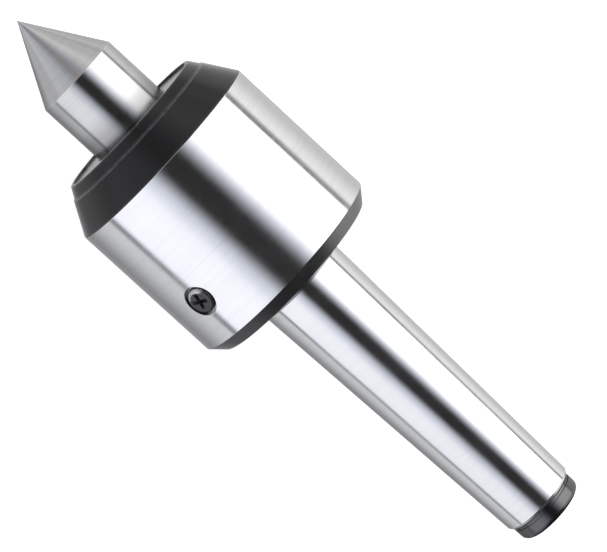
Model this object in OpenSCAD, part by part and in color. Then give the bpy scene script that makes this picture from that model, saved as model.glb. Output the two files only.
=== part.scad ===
// Live center on a Morse taper shank. A 60 degree point turns on three bearings inside a
// head that stays still. The axis of rotation is the X axis, the point faces -X, and the
// origin is on the axis at the gauge plane of the taper. All lengths are in millimetres.

/* [Point] */
// Full angle of the conical point
point_angle = 60; // [55:1:75]
// Diameter of the ground nose behind the cone
nose_d = 22; // [21:0.5:22.5]
// Length of point and nose that stands out of the front cap
nose_reach = 35.5; // [30:0.5:45]

/* [Head] */
// Outside diameter of the head
head_d = 53.5; // [53:0.5:60]
// Length of the ground cylinder of the head
body_len = 39.14; // [38:0.02:50]
// Length of the front cap that shows
cap_len = 10.5; // [10.3:0.1:12]
// Diameter of the flat front rim of the cap
cap_rim_d = 39.4; // [39.2:0.1:39.8]
// Length of the bevelled rear of the head
rear_bevel_len = 3.4; // [3:0.1:6]
// Diameter of the flat rear face of the head
rear_face_d = 47.6; // [40:0.1:50]

/* [Morse taper shank] */
// Diameter of the taper at its gauge plane
gauge_d = 23.825; // [23.825]
// Length over which the diameter falls by one millimetre
taper_len_per_mm = 19.922; // [19.922]
// Distance from the rear face of the head to the gauge plane
shoulder_gap = 4.7; // [4:0.1:7]
// Length from the rear face of the head to the end of the tail
shank_len = 85.7; // [84:0.1:90]
// Diameter of the short neck between the rear face and the taper
neck_d = 24.06; // [24:0.02:24.2]
// Length of the neck
neck_len = 2.3; // [2:0.1:4]
// Diameter of the plain tail behind the taper
tail_d = 18.5; // [18:0.1:19]
// Length of the tail, from the end of the taper's bevel
tail_len = 4.75; // [4:0.05:7]

/* [Front ball bearing] */
// Bore
front_bore_d = 20; // [20]
// Outside diameter
front_outer_d = 47; // [47]
// Width
front_width = 14; // [14]
// Ball diameter
front_ball_d = 7.938; // [7.938]
// Number of balls
front_ball_count = 8; // [6:1:9]

/* [Thrust ball bearing] */
// Bore
thrust_bore_d = 17; // [17]
// Outside diameter
thrust_outer_d = 30; // [30]
// Height of the two washers and the balls between them
thrust_height = 9; // [9]
// Ball diameter
thrust_ball_d = 4.762; // [4.762]
// Number of balls
thrust_ball_count = 12; // [8:1:13]

/* [Needle bearing] */
// Diameter of the shaft journal
needle_bore_d = 12; // [12]
// Outside diameter of the drawn cup
needle_cup_d = 18; // [18]
// Length of the drawn cup
needle_cup_len = 16; // [12:1:20]
// Number of needles
needle_count = 14; // [10:1:15]

/* [Grease screw] */
// Angle of the screw around the axis, from +Z towards -Y
screw_angle = 45.5; // [0:0.5:90]
// Distance of the screw ahead of the gauge plane
screw_ahead = 19.2; // [18.5:0.1:21]
// Diameter of the counterbore
counterbore_d = 8.2; // [8:0.1:9]
// Diameter of the cheese head
screw_head_d = 6.9; // [6.6:0.1:7.4]
// Diameter of the thread
screw_thread_d = 4; // [4]

/* [Fits] */
// Radial gap of a part that is pressed or pushed home
seat_gap = 0.01; // [0.005:0.005:0.02]
// Radial gap between parts that turn past each other
run_gap = 0.05; // [0.02:0.01:0.08]
// Gap between a rolling body and its track
roll_gap = 0.015; // [0.01:0.005:0.03]

/* [Hidden] */
$fn = 96;
eps = 0.5;

// Stations along the axis, from the gauge plane
x_shoulder = -shoulder_gap;
x_tail = x_shoulder + shank_len;
x_body_end = x_shoulder - rear_bevel_len;
x_joint = x_body_end - body_len;
x_cap_front = x_joint - cap_len;
x_tip = x_cap_front - nose_reach;
nose_r = nose_d / 2;
x_cone_base = x_tip + nose_r / tan(point_angle / 2);
head_r = head_d / 2;

// Front bearing, circlip, thrust bearing and needle bearing, in that order
spigot_len = 6;
x_front = x_joint + spigot_len;
x_front_mid = x_front + front_width / 2;
x_front_end = x_front + front_width;
circlip_t = 1.2;
circlip_groove_w = 1.3;
x_thrust = x_front_end + 3.5;
x_thrust_mid = x_thrust + thrust_height / 2;
x_thrust_end = x_thrust + thrust_height;
x_needle = x_thrust_end + 13.5;
x_needle_end = x_needle + needle_cup_len;
x_journal_end = x_needle_end;
x_bore_end = x_needle_end + 2;

// Taper, bevel and tail
taper_slope = 1 / taper_len_per_mm / 2;
gauge_r = gauge_d / 2;
tail_r = tail_d / 2;
x_neck_end = x_shoulder + neck_len;
x_bevel_end = x_tail - tail_len;
tail_bevel_w = 0.63;
tail_bevel_r = 9.65;
tail_groove_r = 8.95;
tail_groove_w = 0.4;
tail_collar_w = 0.4;
tail_round = 1.9;
tail_hole_d = 4;
tail_hole_mouth_d = 8.5;
tail_hole_len = 7;

// Cap
cap_slope = 0.593;
thread_r = 25;
spigot_bore_r = 19;
seal_bore_r = 17.5;
seal_len = 7;
x_seal = x_joint - seal_len;
shield_r = 19.3;
shield_depth = 0.65;
shield_t = 1;
web_bore_r = nose_r + 1.5;
shield_bore_r = nose_r + 0.3;
x_step = x_joint - 7.5;
step_r = head_r - 7.5 * cap_slope;
step_h = 0.5;
rim_r = cap_rim_d / 2;
rim_round_r = 20.32;
rim_round_w = 0.35;

// Spindle
collar_r = 14;
collar_t = 3;
front_bore_r = front_bore_d / 2;
thrust_bore_r = thrust_bore_d / 2;
journal_r = needle_bore_d / 2;
circlip_groove_r = 9.5;

// Rolling bodies
front_ball_r = front_ball_d / 2;
front_pitch_r = (front_bore_d + front_outer_d) / 4;
front_track_r = 0.52 * front_ball_d;
front_shoulder = 2.45;
thrust_ball_r = thrust_ball_d / 2;
thrust_pitch_r = (thrust_bore_d + thrust_outer_d) / 4;
thrust_track_r = 0.53 * thrust_ball_d;
thrust_washer_t = 2.75;
needle_r = 1;
needle_pitch_r = journal_r + needle_r;
needle_wall = 1;
needle_lip_t = 0.8;

// Screw, measured outwards from the axis
cavity_r = 20;
screw_head_h = 2.8;
screw_proud = 0.2;
screw_round = 1;
screw_washer_t = 0.6;
screw_top_r = head_r + screw_proud;
screw_under_head_r = screw_top_r - screw_head_h;
counterbore_floor_r = screw_under_head_r - screw_washer_t;

function taper_r(x) = gauge_r - x * taper_slope;

// Points of a quarter round about centre c, from angle a to angle b
function round_points(c, r, a, b, steps = 8) =
    [for (i = [0 : steps]) c + r * [cos(a + (b - a) * i / steps), sin(a + (b - a) * i / steps)]];

// Turns a profile of [x, radius] points about the X axis
module turned(points) {
    rotate([0, 90, 0])
        rotate_extrude()
            polygon([for (p = points) [p[1], p[0]]]);
}

// Turns a flat shape, drawn with radius along X and the axis along Y, about the X axis
module turned_shape() {
    rotate([0, 90, 0])
        rotate_extrude()
            children();
}

// Sleeve along the axis between two stations
module sleeve(x0, x1, inner_r, outer_r) {
    turned([[x0, inner_r], [x0, outer_r], [x1, outer_r], [x1, inner_r]]);
}

// Plain bar along the axis between two stations
module bar(x0, x1, r) {
    translate([x0, 0, 0])
        rotate([0, 90, 0])
            cylinder(h = x1 - x0, r = r);
}

// Copies of a child around the axis, at a pitch radius and a station
module around(count, pitch_r, x, phase = 0) {
    for (i = [0 : count - 1])
        rotate([phase + i * 360 / count, 0, 0])
            translate([x, 0, pitch_r])
                children();
}

// Frame of the grease screw, with its own axis along +Z
module at_screw() {
    translate([-screw_ahead, 0, 0])
        rotate([screw_angle, 0, 0])
            children();
}

// Head and shank in one piece, bored from the front for every bearing
module housing() {
    x_taper_end = x_bevel_end - tail_bevel_w;
    x_collar = x_bevel_end + tail_groove_w;
    x_collar_end = x_collar + tail_collar_w;
    outside = concat(
        [[x_joint, 0], [x_joint, head_r], [x_body_end, head_r]],
        [[x_shoulder, rear_face_d / 2], [x_shoulder, neck_d / 2], [x_neck_end, neck_d / 2]],
        [[x_neck_end, taper_r(x_neck_end)], [x_taper_end, taper_r(x_taper_end)]],
        [[x_bevel_end, tail_bevel_r], [x_bevel_end, tail_groove_r]],
        [[x_collar, tail_groove_r], [x_collar, tail_r], [x_collar_end, tail_r]],
        [[x_collar_end, tail_groove_r], [x_collar_end + tail_groove_w, tail_groove_r]],
        [[x_collar_end + tail_groove_w, tail_r]],
        round_points([x_tail - tail_round, tail_r - tail_round], tail_round, 90, 0),
        [[x_tail, 0]]
    );
    x_pocket = x_thrust_end - 2.5;
    needle_seat_r = needle_cup_d / 2;
    inside = [
        [x_joint - eps, 0], [x_joint - eps, thread_r], [x_front, thread_r],
        [x_front, front_outer_d / 2], [x_front_end, front_outer_d / 2],
        [x_front_end, cavity_r], [x_pocket, cavity_r],
        [x_pocket, thrust_outer_d / 2], [x_thrust_end, thrust_outer_d / 2],
        [x_thrust_end, needle_seat_r], [x_bore_end, needle_seat_r],
        [x_bore_end + needle_seat_r / tan(59), 0]
    ];
    mouth_len = tail_hole_mouth_d / 2 / tan(30);
    color("gainsboro")
        difference() {
            turned(outside);
            turned(inside);
            bar(x_tail - tail_hole_len, x_tail + eps, tail_hole_d / 2);
            turned([[x_tail - mouth_len, 0], [x_tail, tail_hole_mouth_d / 2],
                    [x_tail + eps, tail_hole_mouth_d / 2], [x_tail + eps, 0]]);
            at_screw()
                translate([0, 0, cavity_r - 3])
                    cylinder(h = 8, r = screw_thread_d / 2);
            at_screw()
                translate([0, 0, counterbore_floor_r])
                    cylinder(h = 8, r = counterbore_d / 2);
        }
}

// Screwed front cap: two cones with a step between them, a web and the seal's bore
module front_cap() {
    x_web = x_cap_front + shield_depth + shield_t;
    color("#26262a")
        turned([
            [x_cap_front, shield_r], [x_cap_front, rim_r],
            [x_cap_front + rim_round_w / 3, rim_r + 0.35], [x_cap_front + rim_round_w, rim_round_r],
            [x_step - 0.45, step_r - step_h - 0.1], [x_step - 0.2, step_r - step_h],
            [x_step, step_r], [x_joint, head_r], [x_joint, thread_r - seat_gap],
            [x_front, thread_r - seat_gap], [x_front, spigot_bore_r],
            [x_joint, spigot_bore_r], [x_joint, seal_bore_r], [x_seal, seal_bore_r],
            [x_seal, web_bore_r], [x_web, web_bore_r], [x_web, shield_r]
        ]);
}

// Bright ring in the recess of the cap's front
module dust_shield() {
    x0 = x_cap_front + shield_depth;
    color("silver")
        sleeve(x0, x0 + shield_t, shield_bore_r, shield_r - seat_gap);
}

// Pressed steel case of the oil seal
module seal_case() {
    outer_r = seal_bore_r - seat_gap;
    color("dimgray")
        turned([[x_seal, 13.2], [x_seal, outer_r], [x_joint, outer_r],
                [x_joint, outer_r - 0.7], [x_seal + 0.8, outer_r - 0.7],
                [x_seal + 0.8, 13.2]]);
}

// Rubber lip of the oil seal, with a groove for its spring
module seal_lip() {
    lip_r = nose_r + run_gap;
    color("#33261c")
        turned_shape()
            difference() {
                polygon([
                    [13.2, x_seal], [lip_r + 0.6, x_seal], [lip_r + 0.1, x_seal + 0.5],
                    [lip_r + 0.9, x_seal + 1.6], [lip_r + 0.9, x_seal + 3],
                    [lip_r, x_seal + 4], [lip_r + 0.8, x_seal + 5.2],
                    [lip_r + 2.1, x_seal + 5.2], [lip_r + 2.1, x_seal + 3.2],
                    [lip_r + 1.7, x_seal + 1.4], [13.2, x_seal + 0.8]
                ]);
                translate([lip_r + 2.1, x_seal + 4.2])
                    circle(r = 0.65, $fn = 32);
            }
}

// Garter spring that keeps the lip on the nose
module seal_spring() {
    color("silver")
        turned_shape()
            translate([nose_r + run_gap + 2.1, x_seal + 4.2])
                circle(r = 0.62, $fn = 32);
}

// Point, nose, collar and stepped shaft, turned and ground in one piece
module center_point() {
    x_groove_end = x_front_end + circlip_groove_w;
    color("whitesmoke")
        turned([
            [x_tip, 0], [x_cone_base, nose_r], [x_front - collar_t, nose_r],
            [x_front - collar_t, collar_r - 0.4], [x_front - collar_t + 0.4, collar_r],
            [x_front, collar_r], [x_front, front_bore_r],
            [x_front_end, front_bore_r], [x_front_end, circlip_groove_r],
            [x_groove_end, circlip_groove_r], [x_groove_end, front_bore_r],
            [x_thrust, front_bore_r], [x_thrust, thrust_bore_r],
            [x_thrust_end + 0.5, thrust_bore_r], [x_thrust_end + 2, journal_r],
            [x_journal_end - 0.6, journal_r], [x_journal_end, journal_r - 0.6],
            [x_journal_end, 0]
        ]);
}

module front_outer_ring() {
    outer_r = front_outer_d / 2 - seat_gap;
    color("lightsteelblue")
        turned_shape()
            difference() {
                polygon([
                    [front_pitch_r + front_shoulder, x_front],
                    [outer_r - 0.8, x_front], [outer_r, x_front + 0.8],
                    [outer_r, x_front_end - 0.8], [outer_r - 0.8, x_front_end],
                    [front_pitch_r + front_shoulder, x_front_end]
                ]);
                translate([front_pitch_r + front_ball_r + roll_gap - front_track_r, x_front_mid])
                    circle(r = front_track_r);
            }
}

module front_inner_ring() {
    inner_r = front_bore_r + seat_gap;
    color("lightsteelblue")
        turned_shape()
            difference() {
                polygon([
                    [front_pitch_r - front_shoulder, x_front],
                    [inner_r + 0.8, x_front], [inner_r, x_front + 0.8],
                    [inner_r, x_front_end - 0.8], [inner_r + 0.8, x_front_end],
                    [front_pitch_r - front_shoulder, x_front_end]
                ]);
                translate([front_pitch_r - front_ball_r - roll_gap + front_track_r, x_front_mid])
                    circle(r = front_track_r);
            }
}

module front_balls() {
    color("white")
        around(front_ball_count, front_pitch_r, x_front_mid)
            sphere(r = front_ball_r);
}

// One pressed half of the ball cage: a flat ring with a bowed pocket over each ball.
// side is 1 for the half towards the shank and -1 for the half towards the point.
module cage_half(side) {
    sheet_t = 0.7;
    pocket_r = front_ball_r + 0.1;
    half_w = 1.55;
    reach = pocket_r + sheet_t + eps;
    inner_r = front_pitch_r - half_w;
    outer_r = front_pitch_r + half_w;
    x_far = x_front_mid + side * reach;
    x_sheet = x_front_mid + side * sheet_t;
    difference() {
        union() {
            sleeve(min(x_front_mid, x_sheet), max(x_front_mid, x_sheet), inner_r, outer_r);
            intersection() {
                around(front_ball_count, front_pitch_r, x_front_mid)
                    cylinder(h = 4 * half_w, r = pocket_r + sheet_t, center = true);
                sleeve(min(x_front_mid, x_far), max(x_front_mid, x_far), inner_r, outer_r);
            }
        }
        around(front_ball_count, front_pitch_r, x_front_mid)
            cylinder(h = 4 * half_w, r = pocket_r, center = true);
        around(front_ball_count, front_pitch_r, x_front_mid - 2, 180 / front_ball_count)
            rotate([0, 90, 0])
                cylinder(h = 4, r = 0.75, $fn = 32);
    }
}

module front_cage_half() {
    color("darkgray")
        cage_half(-1);
}

module front_cage_back_half() {
    color("darkgray")
        cage_half(1);
}

// Rivets that hold the two halves of the cage together
module front_cage_rivets() {
    rivet_r = 0.74;
    head_t = 0.5;
    color("silver")
        around(front_ball_count, front_pitch_r, x_front_mid, 180 / front_ball_count)
            rotate([0, 90, 0])
                union() {
                    translate([0, 0, -0.7 - head_t])
                        cylinder(h = head_t, r1 = 0.8, r2 = 1.2, $fn = 32);
                    translate([0, 0, -0.7 - head_t])
                        cylinder(h = 1.4 + 2 * head_t, r = rivet_r, $fn = 32);
                    translate([0, 0, 0.7])
                        cylinder(h = head_t, r1 = 1.2, r2 = 0.8, $fn = 32);
                }
}

// Retaining ring behind the front bearing, open at one side with two eyed lugs
module bearing_circlip() {
    ring_r = circlip_groove_r + seat_gap;
    outer_r = 11.6;
    lug_pitch_r = 12;
    lug_angle = 13;
    color("slategray")
        translate([x_front_end + 0.05, 0, 0])
            rotate([0, 90, 0])
                linear_extrude(circlip_t)
                    difference() {
                        union() {
                            translate([0.5, 0])
                                circle(r = outer_r);
                            for (side = [-1, 1])
                                rotate(180 + side * lug_angle)
                                    translate([lug_pitch_r, 0])
                                        circle(r = 1.7, $fn = 32);
                        }
                        circle(r = ring_r);
                        polygon([[0, 0], [-20, -2.6], [-20, 2.6]]);
                        for (side = [-1, 1])
                            rotate(180 + side * lug_angle)
                                translate([lug_pitch_r, 0])
                                    circle(r = 0.9, $fn = 32);
                    }
}

// Washer of the thrust bearing with a ball track in the face towards the balls.
// side is -1 for the washer ahead of the balls and 1 for the one behind them.
module thrust_washer(side, inner_r, outer_r) {
    x_back = x_thrust_mid + side * thrust_height / 2;
    x_face = x_back - side * thrust_washer_t;
    x_track = x_thrust_mid + side * (thrust_ball_r + roll_gap - thrust_track_r);
    turned_shape()
        difference() {
            polygon([
                [inner_r, x_face], [inner_r, x_back], [outer_r - 0.5, x_back],
                [outer_r, x_back - side * 0.5], [outer_r, x_face]
            ]);
            translate([thrust_pitch_r, x_track])
                circle(r = thrust_track_r);
        }
}

module thrust_shaft_washer() {
    color("lightsteelblue")
        thrust_washer(-1, thrust_bore_r + seat_gap, thrust_outer_d / 2 - 0.2);
}

module thrust_housing_washer() {
    color("lightsteelblue")
        thrust_washer(1, thrust_bore_r + 0.5, thrust_outer_d / 2 - seat_gap);
}

module thrust_balls() {
    color("white")
        around(thrust_ball_count, thrust_pitch_r, x_thrust_mid)
            sphere(r = thrust_ball_r);
}

module thrust_cage() {
    cage_t = 1.6;
    color("darkgray")
        difference() {
            sleeve(x_thrust_mid - cage_t / 2, x_thrust_mid + cage_t / 2,
                   thrust_bore_r + 0.5, thrust_outer_d / 2 - 0.4);
            around(thrust_ball_count, thrust_pitch_r, x_thrust_mid - cage_t)
                rotate([0, 90, 0])
                    cylinder(h = 2 * cage_t, r = thrust_ball_r + 0.06);
        }
}

// Drawn cup of the needle bearing, with a lip turned in at each end
module needle_cup() {
    outer_r = needle_cup_d / 2 - seat_gap;
    track_r = needle_cup_d / 2 - needle_wall;
    lip_r = journal_r + 0.35;
    color("silver")
        turned([
            [x_needle, lip_r], [x_needle, outer_r - 0.6], [x_needle + 0.6, outer_r],
            [x_needle_end - 0.6, outer_r], [x_needle_end, outer_r - 0.6],
            [x_needle_end, lip_r], [x_needle_end - needle_lip_t, lip_r],
            [x_needle_end - needle_lip_t, track_r], [x_needle + needle_lip_t, track_r],
            [x_needle + needle_lip_t, lip_r]
        ]);
}

module needle_rollers() {
    len = needle_cup_len - 2 * needle_lip_t - 1.6;
    color("white")
        around(needle_count, needle_pitch_r, x_needle + (needle_cup_len - len) / 2)
            rotate([0, 90, 0])
                cylinder(h = len, r = needle_r - roll_gap);
}

module needle_cage() {
    len = needle_cup_len - 2 * needle_lip_t - 0.2;
    slot_len = needle_cup_len - 2 * needle_lip_t - 1.5;
    x_mid = x_needle + needle_cup_len / 2;
    color("darkgray")
        difference() {
            sleeve(x_mid - len / 2, x_mid + len / 2, journal_r + 0.3, journal_r + 1.6);
            around(needle_count, needle_pitch_r, x_mid - slot_len / 2)
                rotate([0, 90, 0])
                    cylinder(h = slot_len, r = needle_r + 0.03);
        }
}

// Cheese head screw with a cross recess, which closes the grease hole
module grease_screw() {
    shank_end_r = cavity_r - 1;
    round_centre = [screw_head_d / 2 - screw_round, screw_top_r - screw_round];
    cross_w = 1.05;
    cross_len = 4.2;
    cross_depth = 1.7;
    color("#303034")
        at_screw()
            difference() {
                union() {
                    translate([0, 0, shank_end_r])
                        cylinder(h = screw_top_r - shank_end_r, r = screw_thread_d / 2 - seat_gap);
                    rotate_extrude()
                        polygon(concat(
                            [[0, screw_under_head_r], [screw_head_d / 2, screw_under_head_r]],
                            round_points(round_centre, screw_round, 0, 90),
                            [[0, screw_top_r]]
                        ));
                }
                intersection() {
                    union()
                        for (turn = [0, 90])
                            rotate([0, 0, turn - 20])
                                translate([-cross_len / 2, -cross_w / 2, screw_top_r - cross_depth])
                                    cube([cross_len, cross_w, cross_depth + eps]);
                    translate([0, 0, screw_top_r - cross_depth])
                        cylinder(h = cross_depth + eps, r1 = 0.9, r2 = 2.4);
                }
            }
}

module screw_washer() {
    color("peru")
        at_screw()
            translate([0, 0, counterbore_floor_r])
                difference() {
                    cylinder(h = screw_washer_t, r = screw_head_d / 2 - 0.1);
                    translate([0, 0, -eps])
                        cylinder(h = screw_washer_t + 2 * eps, r = screw_thread_d / 2 + 0.1);
                }
}

housing();
front_cap();
dust_shield();
seal_case();
seal_lip();
seal_spring();
center_point();
front_outer_ring();
front_inner_ring();
front_balls();
front_cage_half();
front_cage_back_half();
front_cage_rivets();
bearing_circlip();
thrust_shaft_washer();
thrust_housing_washer();
thrust_balls();
thrust_cage();
needle_cup();
needle_rollers();
needle_cage();
grease_screw();
screw_washer();
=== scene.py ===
# Live center lying on a pale table under a soft studio sky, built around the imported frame
import math

import bpy
from mathutils import Matrix, Vector


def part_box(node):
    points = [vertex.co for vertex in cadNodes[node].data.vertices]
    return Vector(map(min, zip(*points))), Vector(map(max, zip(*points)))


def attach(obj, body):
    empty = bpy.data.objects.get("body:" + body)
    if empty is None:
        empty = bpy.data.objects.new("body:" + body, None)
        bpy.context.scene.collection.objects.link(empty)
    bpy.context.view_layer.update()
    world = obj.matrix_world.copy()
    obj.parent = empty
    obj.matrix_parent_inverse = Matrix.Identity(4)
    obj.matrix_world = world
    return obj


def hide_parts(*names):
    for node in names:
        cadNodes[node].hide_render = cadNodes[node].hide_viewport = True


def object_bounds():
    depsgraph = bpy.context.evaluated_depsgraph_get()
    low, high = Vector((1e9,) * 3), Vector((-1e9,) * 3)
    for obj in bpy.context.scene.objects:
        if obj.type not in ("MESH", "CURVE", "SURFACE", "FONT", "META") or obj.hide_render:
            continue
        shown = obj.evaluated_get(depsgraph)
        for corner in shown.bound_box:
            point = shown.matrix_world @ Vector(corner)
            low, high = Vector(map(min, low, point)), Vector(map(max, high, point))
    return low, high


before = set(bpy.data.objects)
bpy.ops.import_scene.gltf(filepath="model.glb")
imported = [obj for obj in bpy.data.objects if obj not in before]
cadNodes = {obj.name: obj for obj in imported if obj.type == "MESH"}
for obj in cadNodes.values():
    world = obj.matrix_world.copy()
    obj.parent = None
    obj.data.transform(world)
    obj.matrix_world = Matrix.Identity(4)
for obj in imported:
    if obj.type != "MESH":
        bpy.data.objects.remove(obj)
cadLow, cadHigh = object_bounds()
mm = 0.001
perMm = 1000.0
print("frame loaded")

cameraSetup = {
    "lens": 179.0,                   # on a 36 mm sensor
    "distance": 717.1,               # mm from the point looked at
    "lean": 8.37,                    # degrees from straight above, towards the point
    "lookAt": (-2.73, 1.389, 0.0),   # mm, in the part's frame
    "turn": 42.577,                  # degrees that the axis falls to the right
}


def makeCamera(setup):
    data = bpy.data.cameras.new("benchCamera")
    data.lens = setup["lens"]
    data.sensor_width = 36.0
    data.clip_start = 0.05
    data.clip_end = 20.0
    camera = bpy.data.objects.new("benchCamera", data)
    bpy.context.scene.collection.objects.link(camera)
    lean = math.radians(setup["lean"])
    turn = math.radians(setup["turn"])
    back = Vector((-math.sin(lean), 0.0, math.cos(lean)))
    along = Vector((math.cos(lean), 0.0, math.sin(lean)))
    across = Vector((0.0, 1.0, 0.0))
    right = along * math.cos(turn) + across * math.sin(turn)
    up = across * math.cos(turn) - along * math.sin(turn)
    place = Vector(setup["lookAt"]) * mm + back * setup["distance"] * mm
    camera.matrix_world = Matrix.Translation(place) @ Matrix((right, up, back)).transposed().to_4x4()
    bpy.context.scene.camera = camera


makeCamera(cameraSetup)


# Node trees are put together with these helpers
def put(tree, kind, inputs=None, **settings):
    node = tree.nodes.new("ShaderNode" + kind)
    for key, value in settings.items():
        setattr(node, key, value)
    for key, value in (inputs or {}).items():
        feed(tree, node.inputs[key], value)
    return node


def feed(tree, socket, value):
    if isinstance(value, bpy.types.NodeSocket):
        tree.links.new(value, socket)
    else:
        socket.default_value = value


def maths(tree, operation, *values):
    node = put(tree, "Math", operation=operation)
    for socket, value in zip(node.inputs, values):
        feed(tree, socket, value)
    return node.outputs[0]


def between(tree, value, low, high, toLow=0.0, toHigh=1.0, kind="SMOOTHSTEP"):
    node = put(tree, "MapRange", interpolation_type=kind)
    for name, number in zip(("From Min", "From Max", "To Min", "To Max"), (low, high, toLow, toHigh)):
        feed(tree, node.inputs[name], number)
    feed(tree, node.inputs["Value"], value)
    return node.outputs["Result"]


def blend(tree, share, first, second):
    node = put(tree, "Mix", {0: share, 2: first, 3: second})
    return node.outputs[0]


# The studio: two long soft boxes beside the bench, dark above it, a pale table below.
# Angles are in degrees round the part's axis, from straight up towards +Y.
studioSetup = {
    "plusBox": (9.2, 48.6, 93.2, 97.0, 2.1),       # fades in, fades out, brightness
    "minusBox": (-9.3, -27.5, 84.5, 93.0, 0.72),
    "minusExtra": (-20.0, -45.0, 0.48),            # a second step of the box on the -Y side
    "minusBack": (0.1, 0.4, 0.8),                  # the same box is dimmer towards the tail
    "gaps": ((100.0, 107.0), (93.5, 97.5)),        # dim line at the horizon, on the +Y and -Y side
    "gapFade": 4.0,                                # degrees over which the line begins
    "gapLevel": (0.25, 0.42),
    "gapSpread": (0.02, 20.0),                     # the line drops away ahead of the point
    "dark": 0.03,
    "table": (98.0, 147.0, 0.87, 0.435),           # from the horizon to straight down
    "tableTilt": (0.6, 0.17),                      # how much brighter the +Y side is
    # Ahead of the point the levels go by the angle alone, as pairs of angle and level
    "front": ((-180, 0.62), (-140, 0.64), (-124, 0.68), (-115, 0.69), (-102, 0.64), (-88, 0.71),
              (-77, 0.84), (-55, 0.72), (-34, 0.68), (-20, 0.52), (0, 0.35), (20, 0.46), (38, 0.70),
              (62, 0.95), (77, 0.76), (89, 0.69), (101, 0.75), (110, 0.54), (122, 0.82), (180, 0.45)),
    "frontShare": (0.18, 0.55),                    # where the part ahead of the point takes over
    "backPlus": (0.36, 0.52, 0.035, 0.9),          # the wall behind the tail, on the +Y side
    "backMinus": (-0.36, -0.68, 0.0, 0.5),         # and on the -Y side
    "backHigh": (-0.1, 0.2, 0.4),                  # the back wall is brighter above the table
    "backShare": (0.35, 0.7),
    # The light is bluest where the boxes fade out, and warm straight above
    "tints": ((-180, (0.98, 0.99, 1.02)), (-97, (0.98, 0.99, 1.02)), (-90, (0.94, 0.95, 1.04)),
              (-60, (0.99, 0.995, 1.03)), (-36, (0.94, 0.965, 1.06)), (-22, (0.91, 0.955, 1.09)),
              (-12, (0.97, 0.97, 1.02)), (-5, (1.07, 0.98, 0.97)), (4, (1.05, 0.97, 1.0)),
              (10, (0.96, 0.98, 1.04)), (21, (0.92, 0.965, 1.08)), (30, (0.96, 0.965, 1.04)),
              (45, (1.0, 1.0, 1.0)), (180, (1.0, 1.0, 1.01))),
    "backdrop": (0.99, 0.99, 0.99, 1.0),
}


# Colours or levels placed at angles from -180 to 180 degrees, with straight steps between them
def dial(tree, angle, stops):
    node = put(tree, "ValToRGB", {0: maths(tree, "DIVIDE", maths(tree, "ADD", angle, 180.0), 360.0)})
    marks = node.color_ramp.elements
    while len(marks) < len(stops):
        marks.new(0.5)
    for mark, (degrees, value) in zip(marks, stops):
        mark.position = (degrees + 180.0) / 360.0
    for mark, (degrees, value) in zip(marks, stops):
        mark.color = (*value, 1.0) if isinstance(value, tuple) else (value, value, value, 1.0)
    return node.outputs[0]


def makeStudio(setup):
    world = bpy.data.worlds.new("studioSky")
    world.use_nodes = True
    bpy.context.scene.world = world
    tree = world.node_tree
    tree.nodes.clear()
    direction = put(tree, "SeparateXYZ", {0: put(tree, "TexCoord").outputs["Generated"]})
    x, y, z = direction.outputs
    angle = maths(tree, "DEGREES", maths(tree, "ARCTAN2", y, z))
    turnAway = maths(tree, "ABSOLUTE", angle)
    near, rate = setup["gapSpread"]
    spread = maths(tree, "MULTIPLY", maths(tree, "MAXIMUM", maths(tree, "SUBTRACT", near, x), 0.0), rate)
    edge = maths(tree, "SUBTRACT", turnAway, spread)

    start, full, fade, end, bright = setup["plusBox"]
    plus = maths(tree, "MULTIPLY", between(tree, angle, start, full, 0.0, bright),
                 between(tree, edge, fade, end, 1.0, 0.0))
    start, full, fade, end, bright = setup["minusBox"]
    minus = maths(tree, "ADD", between(tree, angle, start, full, 0.0, bright),
                  between(tree, angle, setup["minusExtra"][0], setup["minusExtra"][1], 0.0,
                          setup["minusExtra"][2]))
    minus = maths(tree, "MULTIPLY", minus, between(tree, edge, fade, end, 1.0, 0.0))
    low, high, dimmed = setup["minusBack"]
    minus = maths(tree, "MULTIPLY", minus, between(tree, x, low, high, 1.0, dimmed))
    boxes = maths(tree, "ADD", plus, minus)

    table = between(tree, turnAway, *setup["table"])
    reach, tilt = setup["tableTilt"]
    sideways = maths(tree, "SINE", maths(tree, "RADIANS", angle))
    table = maths(tree, "ADD", table, between(tree, sideways, -reach, reach, -tilt, tilt))
    onPlus = maths(tree, "GREATER_THAN", angle, 0.0)
    shown = []
    for (low, high), level in zip(setup["gaps"], setup["gapLevel"]):
        line = between(tree, edge, low - setup["gapFade"], low, 0.0, level)
        shown.append(maths(tree, "ADD", line, between(tree, edge, low, high, 0.0, 1.0 - level)))
    opened = maths(tree, "ADD", maths(tree, "MULTIPLY", shown[0], onPlus),
                   maths(tree, "MULTIPLY", shown[1], maths(tree, "SUBTRACT", 1.0, onPlus)))
    table = maths(tree, "MULTIPLY", table, opened)
    around = maths(tree, "ADD", maths(tree, "ADD", boxes, table), setup["dark"])

    ahead = dial(tree, angle, setup["front"])
    wall = maths(tree, "ADD", between(tree, y, *setup["backPlus"]), between(tree, y, *setup["backMinus"]))
    low, high, more = setup["backHigh"]
    wall = maths(tree, "MULTIPLY", wall, between(tree, z, low, high, 1.0, 1.0 + more))
    frontShare = between(tree, maths(tree, "MULTIPLY", x, -1.0), *setup["frontShare"])
    backShare = between(tree, x, *setup["backShare"])
    light = blend(tree, backShare, blend(tree, frontShare, around, ahead), wall)

    tint = dial(tree, angle, setup["tints"])
    studio = put(tree, "Background", {"Color": tint, "Strength": light})
    plain = put(tree, "Background", {"Color": setup["backdrop"], "Strength": 1.0})
    seen = put(tree, "LightPath").outputs["Is Camera Ray"]
    both = put(tree, "MixShader", {0: seen, 1: studio.outputs[0], 2: plain.outputs[0]})
    tree.links.new(both.outputs[0], put(tree, "OutputWorld").inputs["Surface"])
    bpy.context.scene.view_settings.view_transform = "Standard"


makeStudio(studioSetup)

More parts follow.
